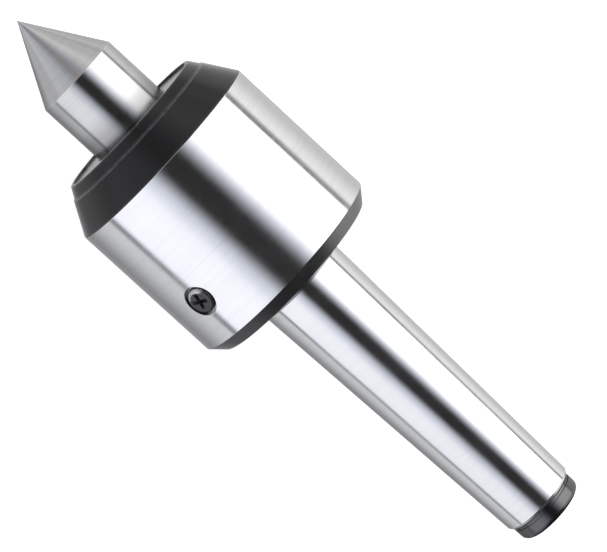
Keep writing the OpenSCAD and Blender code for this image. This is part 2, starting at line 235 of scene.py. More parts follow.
floorSetup = {
    "side": 6.0,                     # m
    "below": 0.02,                   # mm under the part
    "colour": (0.93, 0.93, 0.935, 1.0), "lift": 0.62,
    "rough": 0.9, "shine": 0.1, "grain": 900.0, "relief": (0.05, 0.0001),
}


def makeFloor(setup):
    half = setup["side"] / 2
    z = cadLow.z - setup["below"] * mm
    mesh = bpy.data.meshes.new("paleFloor")
    corners = [(-half, -half, z), (half, -half, z), (half, half, z), (-half, half, z)]
    mesh.from_pydata(corners, [], [(0, 1, 2, 3)])
    floor = bpy.data.objects.new("paleFloor", mesh)
    bpy.context.scene.collection.objects.link(floor)
    material = bpy.data.materials.new("paleTable")
    material.use_nodes = True
    tree = material.node_tree
    paper = tree.nodes["Principled BSDF"]
    coords = put(tree, "TexCoord").outputs["Object"]
    grain = put(tree, "TexNoise", {"Vector": coords, "Scale": setup["grain"]})
    paper.inputs["Roughness"].default_value = setup["rough"]
    paper.inputs["Specular IOR Level"].default_value = setup["shine"]
    paper.inputs["Base Color"].default_value = setup["colour"]
    paper.inputs["Emission Color"].default_value = (1.0, 1.0, 1.0, 1.0)
    paper.inputs["Emission Strength"].default_value = setup["lift"]
    strength, depth = setup["relief"]
    bump = put(tree, "Bump", {"Strength": strength, "Distance": depth, "Height": grain.outputs[0]})
    tree.links.new(bump.outputs[0], paper.inputs["Normal"])
    mesh.materials.append(material)
    floor.visible_glossy = False


makeFloor(floorSetup)
print("camera, studio and floor made")


# Shared effects, each a node group that is built once
def newGroup(name, inputs, outputs):
    tree = bpy.data.node_groups.new(name, "ShaderNodeTree")
    for key, value in inputs.items():
        tree.interface.new_socket(key, in_out="INPUT", socket_type="NodeSocketFloat").default_value = value
    for key in outputs:
        tree.interface.new_socket(key, in_out="OUTPUT", socket_type="NodeSocketFloat")
    given = tree.nodes.new("NodeGroupInput")
    result = tree.nodes.new("NodeGroupOutput")
    return tree, given.outputs, result.inputs


def objectCoords(tree):
    return put(tree, "TexCoord").outputs["Object"]


turningLook = {
    "fineDetail": 4.0, "fineRough": 0.65, "fineShare": 0.6,
    "streakPitch": 0.35, "streakDetail": 2.0,
}


# Fine lines that a grinding wheel or lathe tool leaves round the axis, as shade and height
def turningLines(look):
    tree, given, result = newGroup(
        "turningLines", {"Lines per mm": 4.0, "Contrast": 0.2, "Streak length": 20.0}, ["Shade", "Height"])
    coords = objectCoords(tree)
    x, y, z = put(tree, "SeparateXYZ", {0: coords}).outputs
    squares = maths(tree, "ADD", maths(tree, "POWER", y, 2.0), maths(tree, "POWER", z, 2.0))
    radius = maths(tree, "SQRT", squares)
    pitch = maths(tree, "MULTIPLY", given["Lines per mm"], perMm)
    across = maths(tree, "MULTIPLY", maths(tree, "ADD", x, radius), pitch)
    apart = maths(tree, "MULTIPLY", maths(tree, "SUBTRACT", x, radius), pitch)
    fine = put(tree, "TexNoise", {
        "Vector": put(tree, "CombineXYZ", {0: across, 1: apart}).outputs[0],
        "Scale": 1.0, "Detail": look["fineDetail"], "Roughness": look["fineRough"]}, noise_dimensions="2D")
    slow = maths(tree, "DIVIDE", perMm, given["Streak length"])
    streak = put(tree, "CombineXYZ", {
        0: maths(tree, "MULTIPLY", x, maths(tree, "MULTIPLY", pitch, look["streakPitch"])),
        1: maths(tree, "MULTIPLY", y, slow), 2: maths(tree, "MULTIPLY", z, slow)})
    broken = put(tree, "TexNoise", {
        "Vector": streak.outputs[0], "Scale": 1.0, "Detail": look["streakDetail"]})
    height = maths(tree, "ADD", maths(tree, "MULTIPLY", fine.outputs[0], look["fineShare"]),
                   maths(tree, "MULTIPLY", broken.outputs[0], 1.0 - look["fineShare"]))
    swing = maths(tree, "MULTIPLY", maths(tree, "SUBTRACT", height, 0.5), given["Contrast"])
    feed(tree, result["Shade"], maths(tree, "ADD", 1.0, maths(tree, "MULTIPLY", swing, 2.0)))
    feed(tree, result["Height"], height)
    return tree


wearLook = {"detail": 5.0, "rough": 0.6, "patchEdge": (0.35, 0.65), "least": 0.3}


# Handling marks on the corners, from the rim value that the turned pieces carry
def edgeWear(look):
    tree, given, result = newGroup("edgeWear", {"Amount": 0.5, "Patch per mm": 0.6}, ["Mask"])
    rim = put(tree, "Attribute", attribute_name="rim").outputs["Fac"]
    patch = put(tree, "TexNoise", {
        "Vector": objectCoords(tree), "Scale": maths(tree, "MULTIPLY", given["Patch per mm"], perMm),
        "Detail": look["detail"], "Roughness": look["rough"]})
    kept = maths(tree, "MULTIPLY", between(tree, patch.outputs[0], *look["patchEdge"]), 1.0 - look["least"])
    worn = maths(tree, "MULTIPLY", rim, maths(tree, "ADD", kept, look["least"]))
    feed(tree, result["Mask"], maths(tree, "MULTIPLY", worn, given["Amount"]))
    return tree


filmLook = {
    "broadDetail": 3.0, "twist": 0.8, "fineTimes": 12.0, "fineDetail": 2.0,
    "broadShare": 0.75, "patchEdge": (0.38, 0.66),
}


# Thin uneven film of oil and finger marks
def oilFilm(look):
    tree, given, result = newGroup("oilFilm", {"Patch per mm": 0.06, "Cover": 0.5}, ["Mask"])
    scale = maths(tree, "MULTIPLY", given["Patch per mm"], perMm)
    broad = put(tree, "TexNoise", {
        "Vector": objectCoords(tree), "Scale": scale,
        "Detail": look["broadDetail"], "Distortion": look["twist"]})
    fine = put(tree, "TexNoise", {
        "Vector": objectCoords(tree), "Scale": maths(tree, "MULTIPLY", scale, look["fineTimes"]),
        "Detail": look["fineDetail"]})
    both = maths(tree, "ADD", maths(tree, "MULTIPLY", broad.outputs[0], look["broadShare"]),
                 maths(tree, "MULTIPLY", fine.outputs[0], 1.0 - look["broadShare"]))
    patches = between(tree, both, *look["patchEdge"])
    feed(tree, result["Mask"], maths(tree, "MULTIPLY", patches, given["Cover"]))
    return tree


grainLook = {
    "cloudTimes": 0.4, "cloudDetail": 4.0, "cellShare": 0.5,
    "heights": (0.2, 0.75), "shades": (0.75, 1.2),
}


# Small pits and grains, as of oxide, phosphate or moulded rubber
def fineGrain(look):
    tree, given, result = newGroup("fineGrain", {"Grains per mm": 6.0}, ["Shade", "Height"])
    scale = maths(tree, "MULTIPLY", given["Grains per mm"], perMm)
    cells = put(tree, "TexVoronoi", {"Vector": objectCoords(tree), "Scale": scale, "Randomness": 1.0})
    cloud = put(tree, "TexNoise", {
        "Vector": objectCoords(tree), "Scale": maths(tree, "MULTIPLY", scale, look["cloudTimes"]),
        "Detail": look["cloudDetail"]})
    height = maths(tree, "ADD", maths(tree, "MULTIPLY", cells.outputs["Distance"], look["cellShare"]),
                   maths(tree, "MULTIPLY", cloud.outputs[0], 1.0 - look["cellShare"]))
    feed(tree, result["Shade"], between(tree, height, *look["heights"], *look["shades"], "LINEAR"))
    feed(tree, result["Height"], height)
    return tree


groups = {"turningLines": turningLines(turningLook), "edgeWear": edgeWear(wearLook),
          "oilFilm": oilFilm(filmLook), "fineGrain": fineGrain(grainLook)}
print("effect groups made")


def effect(tree, name, **values):
    node = tree.nodes.new("ShaderNodeGroup")
    node.node_tree = groups[name]
    for key, value in values.items():
        feed(tree, node.inputs[key.replace("_", " ")], value)
    return node.outputs


def newMaterial(name, **values):
    material = bpy.data.materials.new(name)
    material.use_nodes = True
    shader = material.node_tree.nodes["Principled BSDF"]
    for key, value in values.items():
        shader.inputs[key.replace("_", " ")].default_value = value
    return material, material.node_tree, shader.inputs


def scaled(tree, colour, factor):
    node = put(tree, "VectorMath", operation="SCALE")
    feed(tree, node.inputs[0], colour)
    feed(tree, node.inputs["Scale"], factor)
    return node.outputs[0]


def mixed(tree, factor, first, second):
    node = put(tree, "Mix", data_type="RGBA")
    feed(tree, node.inputs[0], factor)
    for socket, value in ((node.inputs[6], first), (node.inputs[7], second)):
        feed(tree, socket, (*value, 1.0) if isinstance(value, tuple) and len(value) == 3 else value)
    return node.outputs[2]


lineDepth = 0.004     # mm, of grinding lines and fine grain
skinDepth = 0.01      # mm, of pressed and cast skins


def bumped(tree, height, strength, depth):
    return put(tree, "Bump", {"Strength": strength, "Distance": depth * mm, "Height": height}).outputs[0]


# Bright steel with the lines of grinding or turning round its axis. Each entry of the last argument is a
# stretch along the axis, in mm, over which painted shade darkens the colour from full to the level given.
def linedSteel(name, colour, rough, lines, contrast, streak=25.0, bite=0.15, blur=0.5, film=0.06,
               wear=0.35, worn=(0.93, 0.93, 0.93), paintedShade=()):
    material, tree, shader = newMaterial(name, Metallic=1.0, Anisotropic=blur, Anisotropic_Rotation=0.25)
    feed(tree, shader["Tangent"], put(tree, "Tangent", direction_type="RADIAL", axis="X").outputs[0])
    grain = effect(tree, "turningLines", Lines_per_mm=lines, Contrast=contrast, Streak_length=streak)
    rubbed = effect(tree, "edgeWear", Amount=wear)["Mask"]
    smear = effect(tree, "oilFilm", Cover=1.0)["Mask"]
    shade = grain["Shade"]
    along = put(tree, "SeparateXYZ", {0: objectCoords(tree)}).outputs[0] if paintedShade else None
    # painted shade: darkens the colour over each stretch towards the cap
    for shadeFrom, dark, least in paintedShade:
        shade = maths(tree, "MULTIPLY", shade, between(tree, along, shadeFrom * mm, dark * mm, 1.0, least))
    lit = mixed(tree, rubbed, scaled(tree, colour, shade), worn)
    feed(tree, shader["Base Color"], lit)
    feed(tree, shader["Roughness"], between(tree, smear, 0.0, 1.0, rough, rough + film, "LINEAR"))
    feed(tree, shader["Normal"], bumped(tree, grain["Height"], bite, lineDepth))
    return material


# Black oxide: an even dark skin with a satin sheen, rubbed to grey on the corners
def blackOxide(name, colour, rough, lines, wear, sheen=0.2, bite=0.3, film=0.1, grainShare=0.4,
               bare=(0.34, 0.34, 0.35), bareMetal=0.8):
    material, tree, shader = newMaterial(name, Specular_IOR_Level=0.45, Sheen_Weight=sheen,
                                         Sheen_Roughness=0.25)
    grain = effect(tree, "fineGrain", Grains_per_mm=7.0)
    turned = effect(tree, "turningLines", Lines_per_mm=lines, Contrast=0.3, Streak_length=40.0)
    worn = effect(tree, "edgeWear", Amount=wear)["Mask"]
    smear = effect(tree, "oilFilm", Patch_per_mm=0.09, Cover=1.0)["Mask"]
    skin = scaled(tree, scaled(tree, colour, grain["Shade"]), turned["Shade"])
    feed(tree, shader["Base Color"], mixed(tree, worn, skin, bare))
    feed(tree, shader["Metallic"], maths(tree, "MULTIPLY", worn, bareMetal))
    feed(tree, shader["Roughness"], between(tree, smear, 0.0, 1.0, rough, rough + film, "LINEAR"))
    height = maths(tree, "ADD", maths(tree, "MULTIPLY", grain["Height"], grainShare), turned["Height"])
    feed(tree, shader["Normal"], bumped(tree, height, bite, lineDepth))
    return material


# Dull metal with a grained skin: pressed sheet, phosphate, scale or soft copper
def grainedMetal(name, colour, rough, grains, metal=1.0, bite=0.3, polish=0.08, dark=(0.5, 0.5, 0.5)):
    material, tree, shader = newMaterial(name, Metallic=metal)
    grain = effect(tree, "fineGrain", Grains_per_mm=grains)
    smear = effect(tree, "oilFilm", Patch_per_mm=0.15, Cover=0.6)["Mask"]
    shade = scaled(tree, colour, grain["Shade"])
    shadow = tuple(c * d for c, d in zip(colour, dark))
    feed(tree, shader["Base Color"], mixed(tree, smear, shade, shadow))
    feed(tree, shader["Roughness"], between(tree, smear, 0.0, 1.0, rough, rough - polish, "LINEAR"))
    feed(tree, shader["Normal"], bumped(tree, grain["Height"], bite, skinDepth))
    return material


# Black screw whose edge takes a lighter bare-metal colour on the side nearest the point, a painted
# highlight
def highlightSideScrew(name, bare, rough, black=(0.07, 0.07, 0.073), highlightFrom=1.2, highlightFull=2.2, metal=0.5,
                bite=0.2):
    material, tree, shader = newMaterial(name, Roughness=rough)
    grain = effect(tree, "fineGrain", Grains_per_mm=7.0)
    side = put(tree, "SeparateXYZ", {0: objectCoords(tree)}).outputs[2]
    # painted highlight: the edge's side towards the point is coloured light bare metal
    rubbed = between(tree, side, highlightFrom * mm, highlightFull * mm)
    feed(tree, shader["Base Color"], mixed(tree, rubbed, black, scaled(tree, bare, grain["Shade"])))
    feed(tree, shader["Metallic"], between(tree, rubbed, 0.0, 1.0, metal, 1.0, "LINEAR"))
    feed(tree, shader["Normal"], bumped(tree, grain["Height"], bite, lineDepth))
    return material


finishes = {
    "groundHead": linedSteel("groundHead", (0.79, 0.79, 0.795), 0.12, 2.2, 0.1),
    "groundTaper": linedSteel("groundTaper", (0.77, 0.77, 0.775), 0.14, 2.6, 0.08),
    "groundPoint": linedSteel("groundPoint", (0.57, 0.57, 0.565), 0.17, 3.0, 0.14,
                              paintedShade=((-66.0, -58.8, 0.57), (-58.4, -57.2, 0.35))),   # painted shade by the seal, standing in for the dark cap's reflection and shade on the nose
    "brightBevel": linedSteel("brightBevel", (0.8, 0.8, 0.8), 0.2, 5.0, 0.2),
    "facedRing": linedSteel("facedRing", (0.85, 0.85, 0.86), 0.18, 4.0, 0.2),
    "darkTurned": linedSteel("darkTurned", (0.27, 0.27, 0.275), 0.28, 3.0, 0.25, wear=0.05),
    "turnedTail": linedSteel("turnedTail", (0.135, 0.135, 0.138), 0.25, 3.0, 0.2, wear=0.0),
    # painted highlight on the screw head's edge, on its side towards the point
    "rubbedEdge": highlightSideScrew("rubbedEdge", (0.55, 0.55, 0.56), 0.24),
    "turnedInside": linedSteel("turnedInside", (0.5, 0.5, 0.5), 0.34, 4.0, 0.35, bite=0.5),
    "bearingSteel": linedSteel("bearingSteel", (0.80, 0.80, 0.82), 0.09, 6.0, 0.08, bite=0.1),
    "blackOxide": blackOxide("blackOxide", (0.002, 0.002, 0.0021), 0.15, 2.5, 0.1, sheen=0.4),
    "rubbedOxide": blackOxide("rubbedOxide", (0.002, 0.002, 0.0021), 0.2, 2.5, 0.5, sheen=0.4),
    "blackScrew": blackOxide("blackScrew", (0.05, 0.05, 0.053), 0.34, 5.0, 0.35),
    "pressedSheet": grainedMetal("pressedSheet", (0.60, 0.59, 0.56), 0.34, 5.0),
    "phosphate": grainedMetal("phosphate", (0.10, 0.10, 0.105), 0.5, 8.0, metal=0.6),
    "softCopper": grainedMetal("softCopper", (0.75, 0.40, 0.26), 0.38, 4.0, dark=(0.6, 0.5, 0.45)),
    "sealRubber": grainedMetal("sealRubber", (0.035, 0.022, 0.016), 0.62, 5.0, metal=0.0),
}
print("materials made")


# An outline is a list of corners (x, radius, rounding, finish of the surface that follows), in mm.
# It runs with the air on its left: towards -X inside a bore and towards +X along the outside.
# A rounding takes up at most a share of each edge beside it: shared, if the edge's other end is rounded
# too, or else alone.
def layOutline(corners, closed, roundSteps=4, wearReach=0.35, longest=1.6, shared=0.45, alone=0.96):
    count = len(corners)
    points = [Vector(c[:2]) for c in corners]
    pairs = [(i, (i + 1) % count) for i in range(count if closed else count - 1)]
    heading = {i: (points[j] - points[i]).normalized() for i, j in pairs}
    trim = {}
    for i in range(count):
        before = (i - 1) % count
        if corners[i][2] <= 0 or i not in heading or before not in heading:
            continue
        bend = heading[before].angle_signed(heading[i])
        reach = abs(corners[i][2] * math.tan(bend / 2))
        after = (i + 1) % count
        for k in (before, after):
            room = (points[i] - points[k]).length * (shared if corners[k][2] > 0 else alone)
            reach = min(reach, room)
        trim[i] = reach
    stretches = []

    def add(a, b, normalA, normalB, finish, rimA, rimB):
        stretches.append({"a": a, "b": b, "na": normalA, "nb": normalB, "finish": finish,
                          "rim": (rimA, rimB)})

    for i, j in pairs:
        along = heading[i]
        normal = Vector((-along.y, along.x))
        finish = corners[i][3]
        if i in trim:
            before = heading[(i - 1) % count]
            start = points[i] - before * trim[i]
            end = points[i] + along * trim[i]
            bend = before.angle_signed(along)
            radius = trim[i] / abs(math.tan(bend / 2))
            oldNormal = Vector((-before.y, before.x))
            side = 1.0 if bend > 0 else -1.0
            centre = start - oldNormal * radius * side
            last, lastNormal = start, oldNormal
            for step in range(1, roundSteps + 1):
                spin = Matrix.Rotation(-bend * step / roundSteps, 2)
                turned = spin @ oldNormal
                point = centre + turned * radius * side if step < roundSteps else end
                add(last, point, lastNormal, turned, finish, 1.0, 1.0)
                last, lastNormal = point, turned
        first = points[i] + along * trim.get(i, 0.0)
        final = points[j] - along * trim.get(j, 0.0)
        length = (final - first).length
        stops = [0.0]
        if i in trim and length > 3 * wearReach:
            stops.append(wearReach)
        endStop = length - wearReach if j in trim and length > 3 * wearReach else length
        parts = max(1, math.ceil((endStop - stops[-1]) / longest))
        base = stops[-1]
        stops += [base + (endStop - base) * k / parts for k in range(1, parts + 1)]
        if endStop < length:
            stops.append(length)
        for s, e in zip(stops, stops[1:]):
            rimA = 1.0 if s == 0.0 and i in trim else 0.0
            rimB = 1.0 if e == length and j in trim else 0.0
            add(first + along * s, first + along * e, normal, normal, finish, rimA, rimB)
    return stretches


def turnedMesh(name, stretches, closed, sides):
    points = [s["a"] for s in stretches] + ([] if closed else [stretches[-1]["b"]])
    rims = [max(stretches[k]["rim"][0], stretches[k - 1]["rim"][1] if k or closed else 0.0)
            for k in range(len(stretches))]
    rims += [] if closed else [stretches[-1]["rim"][1]]
    verts, rings, rimValues = [], [], []
    for point, rim in zip(points, rims):
        x, radius = point * mm
        if radius < 1e-7:
            rings.append([len(verts)] * sides)
            verts.append((x, 0.0, 0.0))
            rimValues.append(rim)
            continue
        rings.append(list(range(len(verts), len(verts) + sides)))
        for k in range(sides):
            spin = 2 * math.pi * k / sides
            verts.append((x, radius * math.cos(spin), radius * math.sin(spin)))
            rimValues.append(rim)
    faces, owners = [], []
    for index in range(len(stretches)):
        near, far = rings[index], rings[(index + 1) % len(rings)]
        for k in range(sides):
            n = (k + 1) % sides
            ring = [near[k], near[n], far[n], far[k]]
            face = [v for m, v in enumerate(ring) if v != ring[m - 1]]
            if len(face) > 2:
                faces.append(face)
                owners.append(index)
    mesh = bpy.data.meshes.new(name)
    mesh.from_pydata(verts, [], faces)
    mesh.attributes.new("rim", "FLOAT", "POINT").data.foreach_set("value", rimValues)
    mesh.attributes.new("stretch", "INT", "FACE").data.foreach_set("value", owners)
    return mesh


# Gives each corner of each face the true normal of the outline, or of the screw hole
def setNormals(mesh, stretches, holeNormal=None):
    owners = mesh.attributes["stretch"].data
    normals = [None] * len(mesh.loops)
    for face in mesh.polygons:
        owner = owners[face.index].value
        for loop in face.loop_indices:
            place = mesh.vertices[mesh.loops[loop].vertex_index].co
            if owner < 0:
                normals[loop] = holeNormal(place, face.normal)
                continue
            s = stretches[owner]
            spot = Vector((place.x, math.hypot(place.y, place.z)))
            a, b = s["a"] * mm, s["b"] * mm
            run = b - a
            share = min(1.0, max(0.0, (spot - a).dot(run) / max(run.length_squared, 1e-12)))
            flat = s["na"].lerp(s["nb"], share).normalized()
            out = Vector((place.y, place.z))
            if out.length < 1e-8:
                out = Vector((face.center.y, face.center.z))
            out.normalize()
            normals[loop] = (flat.x, flat.y * out.x, flat.y * out.y)
    mesh.shade_smooth()
    mesh.normals_split_custom_set(normals)


def turnPiece(name, corners, closed=False, sides=256, cutter=None, holeNormal=None, holeFinish=None):
    stretches = layOutline(corners, closed)
    mesh = turnedMesh(name, stretches, closed, sides)
    piece = bpy.data.objects.new(name, mesh)
    bpy.context.scene.collection.objects.link(piece)
    if cutter is not None:
        piece = cutPiece(piece, cutter)
        mesh = piece.data
    used = sorted({s["finish"] for s in stretches} | ({holeFinish} if holeFinish else set()))
    mesh.materials.clear()
    for finish in used:
        mesh.materials.append(finishes[finish])
    owners = mesh.attributes["stretch"].data
    for face in mesh.polygons:
        owner = owners[face.index].value
        face.material_index = used.index(stretches[owner]["finish"] if owner >= 0 else holeFinish)
    setNormals(mesh, stretches, holeNormal)
    return piece


def cutPiece(piece, cutter):
    cut = piece.modifiers.new("cut", "BOOLEAN")
    cut.operation = "DIFFERENCE"
    cut.solver = "EXACT"
    cut.object = cutter
    graph = bpy.context.evaluated_depsgraph_get()
    made = bpy.data.meshes.new_from_object(piece.evaluated_get(graph))
    name = piece.name
    piece.modifiers.clear()
    old = piece.data
    piece.data = made
    bpy.data.meshes.remove(old)
    made.name = name
    bpy.data.objects.remove(cutter)
    return piece


# Places along the axis, in mm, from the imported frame
def corner(node, side):
    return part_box(node)[side] / mm


xTail = corner("housing", 1).x
xJoint = corner("housing", 0).x
headR = corner("housing", 1).y
xCapFront = corner("front_cap", 0).x
xFront = corner("front_outer_ring", 0).x
xFrontEnd = corner("front_outer_ring", 1).x
xThrust = corner("thrust_shaft_washer", 0).x
xThrustEnd = corner("thrust_housing_washer", 1).x
xNeedleEnd = corner("needle_cup", 1).x
xTip = corner("center_point", 0).x
xJournalEnd = corner("center_point", 1).x

screwPlace = {
    "x": -19.2,             # mm from the gauge plane
    "angle": 45.5,          # degrees round the axis, from +Z towards -Y
    "boreR": 4.1, "holeR": 2.0, "floorR": 23.55, "flareFrom": 26.62, "cavityR": 20.0,
    "above": 2.0, "below": 3.0,     # how far the drill runs past the head and the cavity
    "sides": 96,
}


def screwMatrix(setup):
    around = Matrix.Rotation(math.radians(setup["angle"]), 4, "X")
    outward = around @ Matrix.Rotation(math.radians(-90), 4, "Y")
    return Matrix.Translation((setup["x"] * mm, 0.0, 0.0)) @ outward


# The drill for the grease screw: thread hole, counterbore and a small flare at the mouth
def makeDrill(setup):
    top = headR + setup["above"]
    bottom = setup["cavityR"] - setup["below"]
    flareR = setup["boreR"] + top - setup["flareFrom"]
    outline = [
        (bottom, 0.0, 0, ""), (bottom, setup["holeR"], 0, ""),
        (setup["floorR"], setup["holeR"], 0, ""), (setup["floorR"], setup["boreR"], 0, ""),
        (setup["flareFrom"], setup["boreR"], 0, ""), (top, flareR, 0, ""), (top, 0.0, 0, ""),
    ]
    mesh = turnedMesh("greaseDrill", layOutline(outline, False, longest=headR), False, setup["sides"])
    mesh.attributes["stretch"].data.foreach_set("value", [-1] * len(mesh.polygons))
    drill = bpy.data.objects.new("greaseDrill", mesh)
    bpy.context.scene.collection.objects.link(drill)
    drill.matrix_world = screwMatrix(setup)
    bpy.context.view_layer.update()
    return drill


# The hole's floor keeps its flat normal, its walls face its axis and its flare leans by 45 degrees
def drilledNormal(place, faceNormal, flat=0.95, leaning=0.3):
    frameOfHole = screwMatrix(screwPlace)
    local = frameOfHole.inverted() @ place
    slope = (frameOfHole.to_3x3().inverted() @ faceNormal).x
    if abs(slope) > flat:
        return faceNormal
    inward = Vector((0.0, -local.y, -local.z)).normalized()
    tilt = math.sqrt(0.5) if slope > leaning else 0.0
    return frameOfHole.to_3x3() @ Vector((tilt, *(inward.yz * math.sqrt(1 - tilt * tilt))))


housingShape = {
    "bodyLength": 39.14, "edge": 0.15, "rearEdge": 0.12, "rearRound": 0.3, "neckRound": 0.25,
    "rearFaceR": 23.8, "shankLength": 85.7, "neckR": 12.03, "neckLength": 2.3,
    "gaugeR": 11.9125, "slope": 1 / 19.922 / 2,
    "tailLength": 4.75, "tailBevel": (0.63, 9.65), "tailR": 9.25, "tailRound": 1.9,
    "grooveR": 8.95, "groove": 0.4, "collar": 0.4, "collarEdge": 0.06, "bevelEdge": 0.1,
    "centreHole": (2.0, 4.25, 7.0), "centreEdge": 0.15, "centreAngle": 30.0,
    "threadR": 25.0, "bearingR": 23.5, "cavityR": 20.0, "pocketR": 15.0, "pocketDepth": 2.5,
    "needleR": 9.0, "boreSpare": 2.0, "drillAngle": 59.0, "boreRound": 0.3,
}


def makeHousing(s):
    xBodyEnd = xJoint + s["bodyLength"]
    xShoulder = xTail - s["shankLength"]
    xNeckEnd = xShoulder + s["neckLength"]
    xBevelEnd = xTail - s["tailLength"]
    xTaperEnd = xBevelEnd - s["tailBevel"][0]
    xCollar = xBevelEnd + s["groove"]
    xCollarEnd = xCollar + s["collar"]
    xBoreEnd = xNeedleEnd + s["boreSpare"]
    holeR, mouthR, holeDepth = s["centreHole"]
    edge = s["edge"]

    def taperR(x):
        return s["gaugeR"] - x * s["slope"]

    bored, dark, tail = "turnedInside", "darkTurned", "turnedTail"
    soft, ridge = s["boreRound"], s["collarEdge"]
    corners = [
        (xBoreEnd + s["needleR"] / math.tan(math.radians(s["drillAngle"])), 0.0, 0, bored),
        (xBoreEnd, s["needleR"], 0, bored), (xThrustEnd, s["needleR"], soft, bored),
        (xThrustEnd, s["pocketR"], 0, bored), (xThrustEnd - s["pocketDepth"], s["pocketR"], 0, bored),
        (xThrustEnd - s["pocketDepth"], s["cavityR"], 0, bored), (xFrontEnd, s["cavityR"], soft, bored),
        (xFrontEnd, s["bearingR"], 0, bored), (xFront, s["bearingR"], soft, bored),
        (xFront, s["threadR"], 0, bored), (xJoint, s["threadR"], soft, bored),
        (xJoint, headR, edge, "groundHead"), (xBodyEnd, headR, s["rearEdge"], dark),
        (xShoulder, s["rearFaceR"], s["rearRound"], dark), (xShoulder, s["neckR"], s["neckRound"], dark),
        (xNeckEnd, s["neckR"], 0, dark), (xNeckEnd, taperR(xNeckEnd), 0, "groundTaper"),
        (xTaperEnd, taperR(xTaperEnd), s["bevelEdge"], "brightBevel"),
        (xBevelEnd, s["tailBevel"][1], 0, tail),
        (xBevelEnd, s["grooveR"], 0, tail), (xCollar, s["grooveR"], 0, tail),
        (xCollar, s["tailR"], ridge, tail), (xCollarEnd, s["tailR"], ridge, tail),
        (xCollarEnd, s["grooveR"], 0, tail), (xCollarEnd + s["groove"], s["grooveR"], 0, tail),
        (xCollarEnd + s["groove"], s["tailR"], ridge, tail), (xTail, s["tailR"], s["tailRound"], tail),
        (xTail, mouthR, s["centreEdge"], bored),
        (xTail - (mouthR - holeR) / math.tan(math.radians(s["centreAngle"])), holeR, 0, bored),
        (xTail - holeDepth, holeR, 0, bored), (xTail - holeDepth, 0.0, 0, ""),
    ]
    piece = turnPiece("groundHousing", corners, sides=320, cutter=makeDrill(screwPlace),
                      holeNormal=drilledNormal, holeFinish="brightBevel")
    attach(piece, "head")
    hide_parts("housing")


makeHousing(housingShape)
print("housing made")

capShape = {
    "recessR": 19.3, "recessDepth": 1.65, "rimR": 20.15, "rimRound": 0.45,
    "stepBack": (8.0, 7.6), "stepR": (21.68, 22.24),     # mm ahead of the joint, and radii
    "rubbed": 0.12, "slope": 0.593,
    "threadR": 24.99, "spigotBoreR": 19.0, "sealBoreR": 17.5, "sealLength": 7.0, "webR": 12.5,
    "edge": 0.12, "stepEdges": (0.08, 0.07), "boreRound": 0.3, "webEdges": (0.1, 0.2),
}


def makeCap(s):
    xWeb = xCapFront + s["recessDepth"]
    xSeal = xJoint - s["sealLength"]
    black = "blackOxide"
    edge, soft = s["edge"], s["boreRound"]
    corners = [
        (xCapFront, s["recessR"], edge, black), (xCapFront, s["rimR"], s["rimRound"], black),
        (xJoint - s["stepBack"][0], s["stepR"][0], s["stepEdges"][0], black),
        (xJoint - s["stepBack"][1], s["stepR"][1], s["stepEdges"][1], "rubbedOxide"),
        (xJoint - s["stepBack"][1] + s["rubbed"], s["stepR"][1] + s["rubbed"] * s["slope"], 0, black),
        (xJoint, headR, edge, black), (xJoint, s["threadR"], 0, black), (xFront, s["threadR"], soft, black),
        (xFront, s["spigotBoreR"], soft, black), (xJoint, s["spigotBoreR"], 0, black),
        (xJoint, s["sealBoreR"], soft, black), (xSeal, s["sealBoreR"], 0, black),
        (xSeal, s["webR"], s["webEdges"][0], black), (xWeb, s["webR"], s["webEdges"][1], black),
        (xWeb, s["recessR"], 0, black),
    ]
    piece = turnPiece("blackFrontCap", corners, closed=True, sides=320)
    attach(piece, "head")
    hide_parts("front_cap")


makeCap(capShape)

ringShape = {"innerR": 11.3, "outerR": 19.28, "frontEdge": 0.12, "backEdge": 0.1}


def makeDustRing(s):
    x0, x1 = corner("dust_shield", 0).x, corner("dust_shield", 1).x
    faced, front, back = "facedRing", s["frontEdge"], s["backEdge"]
    corners = [(x0, s["innerR"], front, faced), (x0, s["outerR"], front, faced),
               (x1, s["outerR"], back, faced), (x1, s["innerR"], back, faced)]
    piece = turnPiece("brightDustRing", corners, closed=True, sides=256)
    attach(piece, "head")
    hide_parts("dust_shield")


makeDustRing(ringShape)
print("cap and dust ring made")

pointShape = {
    "noseR": 11.0, "coneAngle": 60.0, "collarLength": 3.0, "collarR": 14.0,
    "seatR": 10.0, "circlip": (1.3, 9.5), "thrustR": 8.5, "thrustSpare": 0.5,
    "journalR": 6.0, "journalBevel": 0.6, "stepLength": 1.5,
    "fine": 0.1, "edge": 0.2, "fillet": 0.3, "collarRound": 0.4,
}


def makePoint(s):
    xBase = xTip + s["noseR"] / math.tan(math.radians(s["coneAngle"] / 2))
    xCollar = xFront - s["collarLength"]
    width, grooveR = s["circlip"]
    xStep = xThrustEnd + s["thrustSpare"]
    shaft = "turnedInside"
    ground = "groundPoint"
    fine, edge, fillet = s["fine"], s["edge"], s["fillet"]
    corners = [
        (xTip, 0.0, 0, ground), (xBase, s["noseR"], fine, ground),
        (xCollar, s["noseR"], fillet, shaft), (xCollar, s["collarR"], s["collarRound"], shaft),
        (xFront, s["collarR"], edge, shaft), (xFront, s["seatR"], fillet, ground),
        (xFrontEnd, s["seatR"], 0, shaft), (xFrontEnd, grooveR, 0, shaft),
        (xFrontEnd + width, grooveR, 0, shaft), (xFrontEnd + width, s["seatR"], fine, shaft),
        (xThrust, s["seatR"], edge, shaft), (xThrust, s["thrustR"], edge, ground),
        (xStep, s["thrustR"], edge, shaft), (xStep + s["stepLength"], s["journalR"], edge, ground),
        (xJournalEnd - s["journalBevel"], s["journalR"], fine, shaft),
        (xJournalEnd, s["journalR"] - s["journalBevel"], fine, shaft), (xJournalEnd, 0.0, 0, ""),
    ]
    piece = turnPiece("groundCenterPoint", corners, sides=256)
    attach(piece, "spindle")
    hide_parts("center_point")


makePoint(pointShape)
print("center point made")

